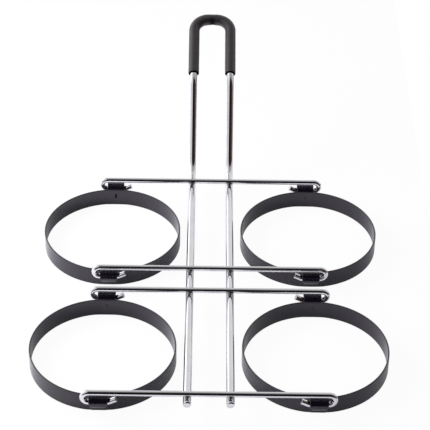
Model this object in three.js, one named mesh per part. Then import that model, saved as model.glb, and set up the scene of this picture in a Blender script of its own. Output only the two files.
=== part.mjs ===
// Egg ring for four eggs: hoops of coated steel strip hang loosely on the hooks of a welded wire carrier,
// and the carrier's two long rods rise behind the hoops into one looped handle with a soft grip.
// Millimetres. +X is to the right, +Y towards the handle, +Z up. The hoops stand on the plane z = 0,
// and the origin is the middle of the whole object's footprint.
import * as THREE from "three";

const degree = Math.PI / 180;

// Hoops
const hoopDiameter = 90;
const hoopHeight = 12;
const stripThickness = 1;
const seamGap = 0.4;
const hoopToRodGap = 4.75;
const innerWirePitch = 22.3;

// Tabs: a strip spot-welded upright to the hoop's outer face and curled over and round the hook's leg
const tabWidth = 11.3;
const tabThickness = 1;
const tabClearance = 0.95;
const tabBoreRise = 0.6;
const tabAxisDrop = 1.8;
const tabSeatMargin = 0.3;
const tabFootHeight = 1;
const tabFootCorner = 1.5;
const tabCurlEnd = -75 * degree;

// Cross wires, each with a hook at both ends
const crossWireDiameter = 3.5;
const hookHeadroom = 0.95;
const hookPlay = 0.2;
const tipSetback = 0.4;
const tipLength = 5.2;
const tipAngle = 27 * degree;
const tipBendRadius = 3.5;
const wireEndChamfer = 0.3;

// The carrier's rod: two parallel runs, a rise, and the loop of the handle
const rodDiameter = 5;
const rodSpacing = 25.5;
const rodOverhang = 5.3;
const riseSetback = 18;
const riseAngle = 52 * degree;
const riseLength = 64;
const gripAngle = 23 * degree;
const gripReach = 52;
const rodBendRadius = 15;
const loopFlat = 5.5;
const rodEndRounding = 1.1;

// The soft sleeve on the loop
const sleeveWall = 1.05;
const sleeveFit = 0.2;
const sleeveSetback = 5;

// Facets
const rodSides = 16;
const wireSides = 12;
const bendStep = 13 * degree;
const boreStep = 12 * degree;
const hoopFacets = 44;
const endSteps = 3;
const tipSteps = 6;

// Places that follow from the sizes above
const hoopRadius = hoopDiameter / 2;
const wireRadius = crossWireDiameter / 2;
const rodRadius = rodDiameter / 2;
const tabBoreRadius = wireRadius + tabClearance;
const tabAxisHeight = hoopHeight - tabAxisDrop;
const seatHalfAngle = Math.asin((tabWidth / 2 + tabSeatMargin) / hoopRadius);
const seatDistance = hoopRadius * Math.cos(seatHalfAngle);
const legDistance = seatDistance + tabThickness + tabBoreRadius;
const hookDrop = tabBoreRadius + tabBoreRise + tabThickness + hookHeadroom + wireRadius;
const crossWireHeight = tabAxisHeight + hookDrop;
const rodHeight = crossWireHeight - wireRadius - rodRadius;
const columnX = rodSpacing / 2 + rodRadius + hoopToRodGap + hoopRadius;
const rowY = innerWirePitch / 2 + legDistance;
const loopBendRadius = (rodSpacing - loopFlat) / 2;
const sleeveInnerRadius = rodRadius + sleeveFit;
const sleeveOuterRadius = sleeveInnerRadius + sleeveWall;

const coating = { color: 0x2b2a2e, roughness: 0.45, metalness: 0.1 };
const chrome = { color: 0xd9dbde, roughness: 0.12, metalness: 1 };
const vinyl = { color: 0x2a2829, roughness: 0.5, metalness: 0 };

// One named piece with its own material.
function piece(name, geometry, finish) {
  geometry.computeVertexNormals();
  const mesh = new THREE.Mesh(geometry, new THREE.MeshStandardMaterial(finish));
  mesh.name = name;
  return mesh;
}

// A path of straight runs through the corners, each inner corner rounded with its own radius.
function roundedPath(corners, radii) {
  const path = [corners[0]];
  for (let i = 1; i < corners.length - 1; i += 1) {
    const before = corners[i - 1].clone().sub(corners[i]).normalize();
    const after = corners[i + 1].clone().sub(corners[i]).normalize();
    const turn = Math.PI - before.angleTo(after);
    const tangent = radii[i - 1] * Math.tan(turn / 2);
    const start = corners[i].clone().addScaledVector(before, tangent);
    const middle = before.clone().add(after).normalize();
    const centre = corners[i].clone().addScaledVector(middle, radii[i - 1] / Math.cos(turn / 2));
    const axis = before.clone().cross(after).normalize();
    const steps = Math.ceil(turn / bendStep);
    for (let k = 0; k <= steps; k += 1) {
      const arm = start.clone().sub(centre).applyAxisAngle(axis, (-turn * k) / steps);
      path.push(centre.clone().add(arm));
    }
  }
  path.push(corners[corners.length - 1]);
  const closest = radii[0] / 1000;
  return path.filter((point, i) => i === 0 || point.distanceTo(path[i - 1]) > closest);
}

// The path's direction at each of its points, and a side direction that turns with it but never twists.
function pathFrames(path, firstSide) {
  const frames = [];
  for (let i = 0; i < path.length; i += 1) {
    const incoming = path[i].clone().sub(path[Math.max(i - 1, 0)]).normalize();
    const outgoing = path[Math.min(i + 1, path.length - 1)].clone().sub(path[i]).normalize();
    const along = incoming.add(outgoing).normalize();
    const last = frames[frames.length - 1];
    const side = last ? last.side.clone() : firstSide.clone();
    if (last) {
      side.applyQuaternion(new THREE.Quaternion().setFromUnitVectors(last.along, along));
    }
    frames.push({ point: path[i], along, side });
  }
  return frames;
}

// A regular polygon round a point of the path, moved along the path by an offset.
function section({ point, along, side }, radius, sides, offset = 0) {
  const across = along.clone().cross(side);
  const loop = [];
  for (let k = 0; k < sides; k += 1) {
    const turn = (2 * Math.PI * k) / sides;
    const corner = point.clone().addScaledVector(along, offset);
    corner.addScaledVector(side, radius * Math.cos(turn));
    corner.addScaledVector(across, radius * Math.sin(turn));
    loop.push(corner);
  }
  return loop;
}

// The closed surface through a row of loops. A joined row closes on itself; any other gets two end faces.
function skin(loops, joined) {
  const sides = loops[0].length;
  const positions = loops.flat().flatMap((corner) => corner.toArray());
  const triangles = [];
  const rows = joined ? loops.length : loops.length - 1;
  for (let i = 0; i < rows; i += 1) {
    const next = (i + 1) % loops.length;
    for (let k = 0; k < sides; k += 1) {
      const a = i * sides + k;
      const b = i * sides + ((k + 1) % sides);
      const c = next * sides + ((k + 1) % sides);
      const d = next * sides + k;
      triangles.push(a, b, c, a, c, d);
    }
  }
  if (!joined) {
    const lastRow = (loops.length - 1) * sides;
    for (let k = 1; k < sides - 1; k += 1) {
      triangles.push(0, k + 1, k);
      triangles.push(lastRow, lastRow + k, lastRow + k + 1);
    }
  }
  const geometry = new THREE.BufferGeometry();
  geometry.setAttribute("position", new THREE.Float32BufferAttribute(positions, 3));
  geometry.setIndex(triangles);
  return geometry;
}

// A round bar along a path. Each stop of its end says how far back from the tip it has which radius.
function barGeometry(path, firstSide, radius, sides, endStops) {
  const frames = pathFrames(path, firstSide);
  const first = frames[0];
  const last = frames[frames.length - 1];
  const loops = endStops.map((stop) => section(first, stop.radius, sides, stop.back));
  for (const frame of frames.slice(1, -1)) {
    loops.push(section(frame, radius, sides));
  }
  for (const stop of [...endStops].reverse()) {
    loops.push(section(last, stop.radius, sides, -stop.back));
  }
  return skin(loops, false);
}

// A flat end with a rounded rim.
function roundedEnd(radius, rounding) {
  const stops = [];
  for (let k = 0; k <= endSteps; k += 1) {
    const turn = (Math.PI / 2) * (k / endSteps);
    stops.push({ back: rounding * (1 - Math.cos(turn)), radius: radius - rounding * (1 - Math.sin(turn)) });
  }
  return stops;
}

// A flat end with a chamfered rim.
function cutEnd(radius) {
  return [
    { back: 0, radius: radius - wireEndChamfer },
    { back: wireEndChamfer, radius },
  ];
}

// Corners of the rod's left run, from its front tip up to the middle of the loop's far side.
function rodRun() {
  const rearWireY = rowY + legDistance;
  const tip = new THREE.Vector2(-rearWireY - rodOverhang, rodHeight);
  const foot = new THREE.Vector2(rearWireY + riseSetback, rodHeight);
  const rise = new THREE.Vector2(Math.cos(riseAngle), Math.sin(riseAngle)).multiplyScalar(riseLength);
  const knee = foot.clone().add(rise);
  const reach = new THREE.Vector2(Math.cos(gripAngle), Math.sin(gripAngle));
  const top = knee.clone().addScaledVector(reach, gripReach);
  const sleeveEnd = knee.clone().addScaledVector(reach, sleeveSetback);
  return { tip, foot, knee, sleeveEnd, top };
}

// The run's corners on the left side, then the same ones in reverse on the right side.
function bothSides(corners) {
  const left = corners.map((corner) => new THREE.Vector3(-rodSpacing / 2, corner.x, corner.y));
  const right = corners.map((corner) => new THREE.Vector3(rodSpacing / 2, corner.x, corner.y));
  return [...left, ...right.reverse()];
}

function carrierRod() {
  const { tip, foot, knee, top } = rodRun();
  const half = [rodBendRadius, rodBendRadius, loopBendRadius];
  const path = roundedPath(bothSides([tip, foot, knee, top]), [...half, ...[...half].reverse()]);
  const up = new THREE.Vector3(0, 0, 1);
  const bar = barGeometry(path, up, rodRadius, rodSides, roundedEnd(rodRadius, rodEndRounding));
  return piece("carrier_rod", bar, chrome);
}

function gripSleeve() {
  const { sleeveEnd, top } = rodRun();
  const path = roundedPath(bothSides([sleeveEnd, top]), [loopBendRadius, loopBendRadius]);
  const firstSide = new THREE.Vector3(0, -Math.sin(gripAngle), Math.cos(gripAngle));
  const frames = pathFrames(path, firstSide);
  const outside = frames.map((frame) => section(frame, sleeveOuterRadius, rodSides));
  const inside = frames.map((frame) => section(frame, sleeveInnerRadius, rodSides));
  return piece("grip_sleeve", skin([...outside, ...inside.reverse()], true), vinyl);
}

// A cross wire lies over both rods. Each end turns down and back in, through the tab, and its tip kicks up.
function crossWire(name, y) {
  const outerX = columnX + tabWidth / 2 + hookPlay + hookDrop / 2;
  const tipX = columnX - tabWidth / 2 - tipSetback;
  const tipEndX = tipX - tipLength * Math.cos(tipAngle);
  const tipEndZ = tabAxisHeight + tipLength * Math.sin(tipAngle);
  const corners = [
    new THREE.Vector3(-tipEndX, y, tipEndZ),
    new THREE.Vector3(-tipX, y, tabAxisHeight),
    new THREE.Vector3(-outerX, y, tabAxisHeight),
    new THREE.Vector3(-outerX, y, crossWireHeight),
    new THREE.Vector3(outerX, y, crossWireHeight),
    new THREE.Vector3(outerX, y, tabAxisHeight),
    new THREE.Vector3(tipX, y, tabAxisHeight),
    new THREE.Vector3(tipEndX, y, tipEndZ),
  ];
  const hook = [tipBendRadius, hookDrop / 2, hookDrop / 2];
  const path = roundedPath(corners, [...hook, ...[...hook].reverse()]);
  const level = new THREE.Vector3(0, 1, 0);
  return piece(name, barGeometry(path, level, wireRadius, wireSides, cutEnd(wireRadius)), chrome);
}

// The hoop's outline at one radius, from its seam all the way round to the seam again. It is a circle with
// a flat seat at the front and one at the rear, where the tabs are welded on.
function hoopOutline(radius) {
  const start = -Math.PI / 2 + seatHalfAngle;
  const arc = Math.PI - 2 * seatHalfAngle;
  const seam = new THREE.Vector2(seamGap / 2, -radius * Math.cos(seatHalfAngle));
  const points = [seam];
  for (const turn of [start, start + Math.PI]) {
    for (let k = 0; k <= hoopFacets; k += 1) {
      const angle = turn + (arc * k) / hoopFacets;
      points.push(new THREE.Vector2(radius * Math.cos(angle), radius * Math.sin(angle)));
    }
  }
  points.push(new THREE.Vector2(-seam.x, seam.y));
  return points;
}

function hoopBand(name) {
  const outside = hoopOutline(hoopRadius);
  const inside = hoopOutline(hoopRadius - stripThickness);
  const outline = new THREE.Shape([...outside, ...inside.reverse()]);
  const geometry = new THREE.ExtrudeGeometry(outline, { depth: hoopHeight, bevelEnabled: false });
  return piece(name, geometry, coating);
}

// One stop of a tab's strip on the upright part: its distance out from the seat and its height, the way that
// its inner face looks, and its half width, which the foot's rounded corners take up at their lowest points.
function footStop(turn) {
  const height = tabFootHeight + tabFootCorner * (1 - Math.cos(turn));
  return {
    point: new THREE.Vector2(tabThickness / 2, height),
    face: new THREE.Vector2(-1, 0),
    width: tabWidth / 2 - tabFootCorner * (1 - Math.sin(turn)),
  };
}

// One stop on the curl, at an angle round the leg. The curl's upper half is taller than it is round, which
// leaves the leg room to rise in it, and its free end is a half circle as wide as the tab.
function curlStop(angle) {
  const ring = tabBoreRadius + tabThickness / 2;
  const tall = angle > 0 ? ring + tabBoreRise : ring;
  const axis = new THREE.Vector2(tabThickness + tabBoreRadius, tabAxisHeight);
  const toEnd = Math.min(1, (ring * (angle - tabCurlEnd)) / (tabWidth / 2));
  return {
    point: new THREE.Vector2(ring * Math.cos(angle), tall * Math.sin(angle)).add(axis),
    face: new THREE.Vector2(Math.cos(angle) / ring, Math.sin(angle) / tall).normalize(),
    width: (tabWidth / 2) * Math.sqrt(1 - (1 - toEnd) ** 2),
  };
}

// All stops of a tab's strip, from its foot up the seat and over and round the leg.
function tabStops() {
  const stops = [];
  for (let k = 0; k <= endSteps; k += 1) {
    stops.push(footStop((Math.PI / 2) * (k / endSteps)));
  }
  const endSpan = tabWidth / 2 / (tabBoreRadius + tabThickness / 2);
  const sweep = Math.PI - tabCurlEnd - endSpan;
  const steps = Math.ceil(sweep / boreStep);
  for (let k = 0; k < steps; k += 1) {
    stops.push(curlStop(Math.PI - (sweep * k) / steps));
  }
  for (let k = tipSteps; k > 0; k -= 1) {
    stops.push(curlStop(tabCurlEnd + endSpan * (1 - Math.cos((Math.PI / 2) * (k / tipSteps)))));
  }
  return stops;
}

// The strip's rectangle at a stop, once round: x is across the tab, y out from the hoop and z up.
function tabLoop({ point, face, width }) {
  const corner = (across, side) => {
    const place = point.clone().addScaledVector(face, (side * tabThickness) / 2);
    return new THREE.Vector3(across * width, seatDistance + place.x, place.y);
  };
  return [corner(-1, 1), corner(1, 1), corner(1, -1), corner(-1, -1)];
}

// One tab in place: facing is 1 on the hoop's rear seat, and -1 half a turn away on its front seat.
function tabGeometry(facing) {
  return skin(tabStops().map(tabLoop), false).scale(facing, facing, 1);
}

// A hoop with its two tabs, in place.
function eggHoop(name, x, y) {
  const pieces = [
    hoopBand(`${name}_hoop_band`),
    piece(`${name}_rear_tab`, tabGeometry(1), coating),
    piece(`${name}_front_tab`, tabGeometry(-1), coating),
  ];
  for (const { geometry } of pieces) {
    geometry.translate(x, y, 0);
  }
  return pieces;
}

const assembly = new THREE.Group();
assembly.name = "egg_ring";
assembly.add(
  carrierRod(),
  gripSleeve(),
  crossWire("rear_outer_cross_wire", rowY + legDistance),
  crossWire("rear_inner_cross_wire", rowY - legDistance),
  crossWire("front_inner_cross_wire", -rowY + legDistance),
  crossWire("front_outer_cross_wire", -rowY - legDistance),
  ...eggHoop("rear_left", -columnX, rowY),
  ...eggHoop("rear_right", columnX, rowY),
  ...eggHoop("front_left", -columnX, -rowY),
  ...eggHoop("front_right", columnX, -rowY),
);

// The footprint's middle goes to the origin.
const middle = new THREE.Box3().setFromObject(assembly).getCenter(new THREE.Vector3());
for (const mesh of assembly.children) {
  mesh.geometry.translate(-middle.x, -middle.y, 0);
}

export default assembly;
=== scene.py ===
"""Dresses the four-egg ring: a chromed wire carrier with a soft grip, and four coated steel hoops.

Lengths in the classes below are millimetres, as on a workshop drawing, and a mesh is turned into metres
when it is made. +X is to the right, +Y towards the handle and +Z up, with the hoops standing on z = 0.
"""
import logging
import math
from dataclasses import dataclass
from enum import Enum

import bpy
import numpy as np
from mathutils import Matrix, Vector


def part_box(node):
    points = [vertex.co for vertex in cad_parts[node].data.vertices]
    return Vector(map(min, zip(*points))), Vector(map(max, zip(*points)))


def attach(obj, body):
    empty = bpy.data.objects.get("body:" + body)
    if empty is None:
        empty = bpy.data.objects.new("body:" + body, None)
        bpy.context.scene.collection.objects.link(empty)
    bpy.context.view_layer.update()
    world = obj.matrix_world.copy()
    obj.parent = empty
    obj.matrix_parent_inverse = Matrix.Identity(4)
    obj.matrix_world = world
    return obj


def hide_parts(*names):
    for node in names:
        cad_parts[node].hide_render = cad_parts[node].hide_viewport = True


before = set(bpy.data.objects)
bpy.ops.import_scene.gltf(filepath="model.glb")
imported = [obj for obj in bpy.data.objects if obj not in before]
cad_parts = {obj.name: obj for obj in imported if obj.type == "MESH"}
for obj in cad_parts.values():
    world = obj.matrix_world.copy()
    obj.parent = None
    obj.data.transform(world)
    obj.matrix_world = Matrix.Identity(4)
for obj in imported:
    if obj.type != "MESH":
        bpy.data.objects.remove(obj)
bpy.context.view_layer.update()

MM = 0.001
log = logging.getLogger("egg_ring")

UP = np.array([0.0, 0.0, 1.0])
RIGHT = np.array([1.0, 0.0, 0.0])
BACK = np.array([0.0, 1.0, 0.0])
MIRROR_X = np.array([-1.0, 1.0, 1.0])

# Stretches of a path that are shorter than this have no stations of their own
SHORTEST_RUN = 1e-6

# Of the stretches of the rod, counted from 0 at its free end, the one that is the bend at the knee
KNEE_STRETCH = 3

# A bar's end: steps of its rim's quarter circle, rings on its flat face as shares of the face's radius, and
# where the stations behind it may start, as a share of the rim's radius
RIM_STEPS = 8
FACE_RINGS = np.array([0.35, 0.85])
BEHIND_RIM = 1.2


# Vector and surface arithmetic


def unit(vectors: np.ndarray) -> np.ndarray:
    """Vectors scaled to length one along their last axis."""
    return vectors / np.linalg.norm(vectors, axis=-1, keepdims=True)


def smooth_step(values: np.ndarray) -> np.ndarray:
    """Zero below 0, one above 1 and 3t^2 - 2t^3 between them."""
    t = np.clip(values, 0.0, 1.0)
    return t * t * (3.0 - 2.0 * t)


@dataclass
class Surface:
    """A closed mesh as arrays, with values per vertex that its material reads.

    Args:
        vertices: corners in millimetres, one row each.
        quads: four vertex numbers a row.
        triangles: three vertex numbers a row.
        masks: named values between 0 and 1, one per vertex.
    """

    vertices: np.ndarray
    quads: np.ndarray
    triangles: np.ndarray
    masks: dict[str, np.ndarray]

    @classmethod
    def from_grid(cls, grid: np.ndarray, capped: bool, masks: dict[str, np.ndarray]) -> "Surface":
        """Joins a grid of points whose rows are closed loops.

        Args:
            grid: points as rows of a loop each, rows by columns by 3.
            capped: True closes each end with a fan to a middle point, False joins the last row to the first.
            masks: values for each point of the grid, rows by columns.

        Returns:
            The closed surface.
        """
        rows, columns = grid.shape[:2]
        row = np.arange(rows - 1 if capped else rows)[:, None]
        column = np.arange(columns)[None, :]
        after, beside = (row + 1) % rows, (column + 1) % columns
        quads = np.stack(
            [
                row * columns + column,
                row * columns + beside,
                after * columns + beside,
                after * columns + column,
            ],
            axis=-1,
        ).reshape(-1, 4)
        vertices = grid.reshape(-1, 3)
        values = {name: mask.reshape(-1) for name, mask in masks.items()}
        triangles = np.zeros((0, 3), int)
        if capped:
            around = np.arange(columns)
            turned = (around + 1) % columns
            last = (rows - 1) * columns
            low = np.full(columns, rows * columns)
            triangles = np.concatenate(
                [
                    np.stack([low, turned, around], axis=-1),
                    np.stack([low + 1, last + around, last + turned], axis=-1),
                ]
            )
            vertices = np.concatenate([vertices, grid[:1].mean(axis=1), grid[-1:].mean(axis=1)])
            ends = {name: [mask[0].mean(), mask[-1].mean()] for name, mask in masks.items()}
            values = {name: np.concatenate([values[name], ends[name]]) for name in values}
        return cls(vertices, quads, triangles, values)

    def facing_out(self) -> "Surface":
        """Turns the faces round if they point inwards, which the sign of the volume tells.

        Returns:
            The surface with all of its faces pointing outwards.
        """
        fans = np.concatenate([self.quads[:, [0, 1, 2]], self.quads[:, [0, 2, 3]], self.triangles])
        a, b, c = (self.vertices[fans[:, k]] for k in range(3))
        if np.einsum("ij,ij->", a, np.cross(b, c)) < 0.0:
            return Surface(self.vertices, self.quads[:, ::-1], self.triangles[:, ::-1], self.masks)
        return self

    def to_object(self, name: str, material: bpy.types.Material, crease: float) -> bpy.types.Object:
        """Makes the Blender object, in metres, at the origin.

        Args:
            name: the piece's name.
            material: its finish.
            crease: edges that turn by more than this many degrees stay sharp.

        Returns:
            The new object, linked to the scene.
        """
        turned = self.facing_out()
        mesh = bpy.data.meshes.new(name)
        corners = np.concatenate([turned.quads.ravel(), turned.triangles.ravel()])
        sizes = np.concatenate([np.full(len(turned.quads), 4), np.full(len(turned.triangles), 3)])
        mesh.vertices.add(len(turned.vertices))
        mesh.vertices.foreach_set("co", (turned.vertices * MM).ravel())
        mesh.loops.add(len(corners))
        mesh.loops.foreach_set("vertex_index", corners)
        mesh.polygons.add(len(sizes))
        mesh.polygons.foreach_set("loop_start", np.concatenate([[0], np.cumsum(sizes)[:-1]]))
        mesh.update(calc_edges=True)
        mesh.validate()
        for label, values in turned.masks.items():
            layer = mesh.attributes.new(label, "FLOAT", "POINT")
            layer.data.foreach_set("value", values)
        mesh.polygons.foreach_set("use_smooth", np.ones(len(mesh.polygons), bool))
        mesh.set_sharp_from_angle(angle=math.radians(crease))
        mesh.materials.append(material)
        piece = bpy.data.objects.new(name, mesh)
        bpy.context.scene.collection.objects.link(piece)
        return piece


@dataclass(frozen=True)
class Route:
    """A path of straight runs and round bends, evaluated anywhere by its length from the start.

    On a stretch with curvature c, the point at distance u is start + heading sin(cu)/c
    + inward (1 - cos(cu))/c, and on a straight run it is start + heading u.

    Args:
        starts: where each stretch starts.
        headings: its direction there.
        inward: the direction from there to the centre of its bend.
        curvatures: one over each bend's radius, or zero.
        lengths: each stretch's length.
    """

    starts: np.ndarray
    headings: np.ndarray
    inward: np.ndarray
    curvatures: np.ndarray
    lengths: np.ndarray

    @classmethod
    def through(cls, corners: list[np.ndarray], radii: list[float]) -> "Route":
        """The path through corners, each inner one rounded.

        Args:
            corners: the path's ends and corners.
            radii: the bend radius at each inner corner.

        Returns:
            The path: a run, a bend, a run and so on.
        """
        places, bends = np.array(corners, float), np.array(radii, float)
        legs = np.diff(places, axis=0)
        headings = unit(legs)
        cosine = np.einsum("ij,ij->i", headings[:-1], headings[1:])
        turns = np.arccos(np.clip(cosine, -1.0, 1.0))
        trims = bends * np.tan(turns / 2.0)
        run_starts = places[:-1] + headings * np.concatenate([[0.0], trims])[:, None]
        runs = np.linalg.norm(legs, axis=1) - np.concatenate([[0.0], trims]) - np.concatenate([trims, [0.0]])
        count = 2 * len(runs) - 1
        starts, ways, inward = np.zeros((count, 3)), np.zeros((count, 3)), np.zeros((count, 3))
        curvatures, lengths = np.zeros(count), np.zeros(count)
        starts[0::2], ways[0::2], lengths[0::2] = run_starts, headings, runs
        starts[1::2] = places[1:-1] - headings[:-1] * trims[:, None]
        ways[1::2] = headings[:-1]
        inward[1::2] = unit(headings[1:] - headings[:-1] * cosine[:, None])
        curvatures[1::2], lengths[1::2] = 1.0 / bends, bends * turns
        return cls(starts, ways, inward, curvatures, lengths)

    @property
    def length(self) -> float:
        """The whole path's length."""
        return float(self.lengths.sum())

    def at(self, distances: np.ndarray) -> tuple[np.ndarray, np.ndarray]:
        """Points and directions at distances from the start.

        Args:
            distances: lengths along the path, in any order.

        Returns:
            The points and the unit directions, one row each.
        """
        ends = np.cumsum(self.lengths)
        which = np.clip(np.searchsorted(ends, distances), 0, len(ends) - 1)
        along = distances - (ends - self.lengths)[which]
        curvature = self.curvatures[which]
        bent = curvature > 0.0
        divisor = np.where(bent, curvature, 1.0)
        angle = curvature * along
        ahead = np.where(bent, np.sin(angle) / divisor, along)
        aside = np.where(bent, (1.0 - np.cos(angle)) / divisor, 0.0)
        heading, inward = self.headings[which], self.inward[which]
        points = self.starts[which] + heading * ahead[:, None] + inward * aside[:, None]
        return points, heading * np.cos(angle)[:, None] + inward * np.sin(angle)[:, None]

    def stations(self, spacing: float) -> np.ndarray:
        """Distances that divide each stretch evenly.

        Args:
            spacing: the largest distance between two stations.

        Returns:
            The distances from the start, rising.
        """
        ends = np.concatenate([[0.0], np.cumsum(self.lengths)])
        parts = [
            np.linspace(low, high, max(2, math.ceil((high - low) / spacing) + 1))
            for low, high in zip(ends[:-1], ends[1:])
            if high - low > SHORTEST_RUN
        ]
        return np.unique(np.concatenate(parts).round(6))


def round_bar(
    route: Route, stations: np.ndarray, radii: np.ndarray, sides: int, level: np.ndarray
) -> np.ndarray:
    """Carries a circle along a path: centre + radius (side cos t + across sin t).

    Args:
        route: the path.
        stations: distances along it, one for each circle, in any order.
        radii: the radius of each circle.
        sides: points on a circle.
        level: a direction that the path never takes; the side direction stays as near to it as it can.

    Returns:
        A grid of points, stations by sides by 3.
    """
    centres, headings = route.at(stations)
    side = unit(level - headings * (headings @ level)[:, None])
    across = np.cross(headings, side)
    turn = 2.0 * np.pi * np.arange(sides) / sides
    circle = side[:, None] * np.cos(turn)[None, :, None] + across[:, None] * np.sin(turn)[None, :, None]
    return centres[:, None] + radii[:, None, None] * circle


def bar_profile(
    route: Route, spacing: float, radius: float, rounding: float
) -> tuple[np.ndarray, np.ndarray]:
    """Where a bar with flat ends has which radius. Its rims are quarter circles in section.

    Args:
        route: the bar's centre line.
        spacing: the largest distance between two stations.
        radius: the bar's radius.
        rounding: the rims' radius.

    Returns:
        The stations and the radius at each of them.
    """
    quarter = np.linspace(0.0, math.pi / 2, RIM_STEPS)
    flat = radius - rounding
    reach = np.concatenate([np.zeros(len(FACE_RINGS)), rounding * (1.0 - np.cos(quarter))])
    end_radii = np.concatenate([flat * FACE_RINGS, flat + rounding * np.sin(quarter)])
    inner = route.stations(spacing)
    behind = rounding * BEHIND_RIM
    inner = inner[(inner > behind) & (inner < route.length - behind)]
    stations = np.concatenate([reach, inner, route.length - reach[::-1]])
    return stations, np.concatenate([end_radii, np.full(len(inner), radius), end_radii[::-1]])


# Finishes


@dataclass(frozen=True)
class Ramp:
    """A smooth change from one value to another while an input rises.

    Args:
        low: the input up to which the first value holds.
        high: the input from which the second value holds.
        first: the first value.
        second: the second value.
    """

    low: float
    high: float
    first: float
    second: float


WHITE = (1.0, 1.0, 1.0, 1.0)

# The noise of the patches: how detailed it is, where it mostly lies, and how the colour drifts over it
PATCH_DETAIL = 3.0
PATCH_RANGE = (0.3, 0.7)
PATCH_DRIFT = Ramp(0.35, 0.65, 0.0, 1.0)
GRAIN_DETAIL = 4.0

# A speck by the distance from its cell's middle
SPECK_DOT = Ramp(0.05, 0.16, 1.0, 0.0)

# Wear by the edge mask, to which a share of the patches is added
EDGE_WEAR = Ramp(0.75, 1.3, 0.0, 1.0)
EDGE_PATCHES = 0.5


class NodeBoard:
    """A short way to place and join shader nodes in one tree."""

    def __init__(self, tree: bpy.types.NodeTree) -> None:
        """Starts on a tree and empties it."""
        self.tree = tree
        tree.nodes.clear()

    def add(self, kind: str, settings: dict[str, object], inputs: dict[object, object]) -> bpy.types.Node:
        """Places a node.

        Args:
            kind: the node's type, without its common start.
            settings: properties of the node.
            inputs: sockets by name or number; a value sets one, another node's socket is joined to it.

        Returns:
            The node.
        """
        node = self.tree.nodes.new(kind)
        for key, value in settings.items():
            setattr(node, key, value)
        for key, value in inputs.items():
            if isinstance(value, bpy.types.NodeSocket):
                self.tree.links.new(value, node.inputs[key])
            else:
                node.inputs[key].default_value = value
        return node

    def math(self, operation: str, first: object, second: object = 0.0) -> bpy.types.NodeSocket:
        """The result of a Math node on two values or sockets."""
        settings = {"operation": operation}
        return self.add("ShaderNodeMath", settings, {0: first, 1: second}).outputs[0]

    def mix(self, share: object, first: object, second: object) -> bpy.types.NodeSocket:
        """A colour mixed from two by a share."""
        settings = {"data_type": "RGBA"}
        return self.add("ShaderNodeMix", settings, {"Factor": share, 6: first, 7: second}).outputs[2]

    def ramp(self, value: object, ramp: Ramp) -> bpy.types.NodeSocket:
        """The value that a ramp has at an input.

        Args:
            value: the input.
            ramp: the ramp.

        Returns:
            The socket that holds the result.
        """
        settings = {"interpolation_type": "SMOOTHSTEP"}
        inputs = {
            "Value": value,
            "From Min": ramp.low,
            "From Max": ramp.high,
            "To Min": ramp.first,
            "To Max": ramp.second,
        }
        return self.add("ShaderNodeMapRange", settings, inputs).outputs[0]


def surface_life() -> bpy.types.NodeTree:
    """A group that every finish uses: broad patches, fine grain, sparse specks and a worn edge.

    A speck is a dot round a cell's middle, and an edge is worn raggedly where the patches are strong.

    Returns:
        The group, built the first time and found after that.
    """
    name = "surface life"
    tree = bpy.data.node_groups.get(name)
    if tree:
        return tree
    tree = bpy.data.node_groups.new(name, "ShaderNodeTree")
    defaults = {"Patch Scale": 60.0, "Grain Scale": 1500.0, "Speck Scale": 900.0, "Edge": 0.0}
    for label, default in defaults.items():
        socket = tree.interface.new_socket(label, in_out="INPUT", socket_type="NodeSocketFloat")
        socket.default_value = default
    for label in ("Patches", "Grain", "Specks", "Worn Edge"):
        tree.interface.new_socket(label, in_out="OUTPUT", socket_type="NodeSocketFloat")
    board = NodeBoard(tree)
    given = board.add("NodeGroupInput", {}, {})
    place = board.add("ShaderNodeTexCoord", {}, {}).outputs["Object"]
    patch_noise = {"Vector": place, "Scale": given.outputs[0], "Detail": PATCH_DETAIL}
    patches = board.add("ShaderNodeTexNoise", {}, patch_noise)
    grain_noise = {"Vector": place, "Scale": given.outputs[1], "Detail": GRAIN_DETAIL}
    grain = board.add("ShaderNodeTexNoise", {}, grain_noise)
    specks = board.add("ShaderNodeTexVoronoi", {}, {"Vector": place, "Scale": given.outputs[2]})
    dots = board.ramp(specks.outputs["Distance"], SPECK_DOT)
    raggedness = board.math("MULTIPLY", patches.outputs[0], EDGE_PATCHES)
    worn = board.ramp(board.math("ADD", given.outputs[3], raggedness), EDGE_WEAR)
    results = {0: patches.outputs[0], 1: grain.outputs[0], 2: dots, 3: worn}
    board.add("NodeGroupOutput", {}, results)
    return tree


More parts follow.
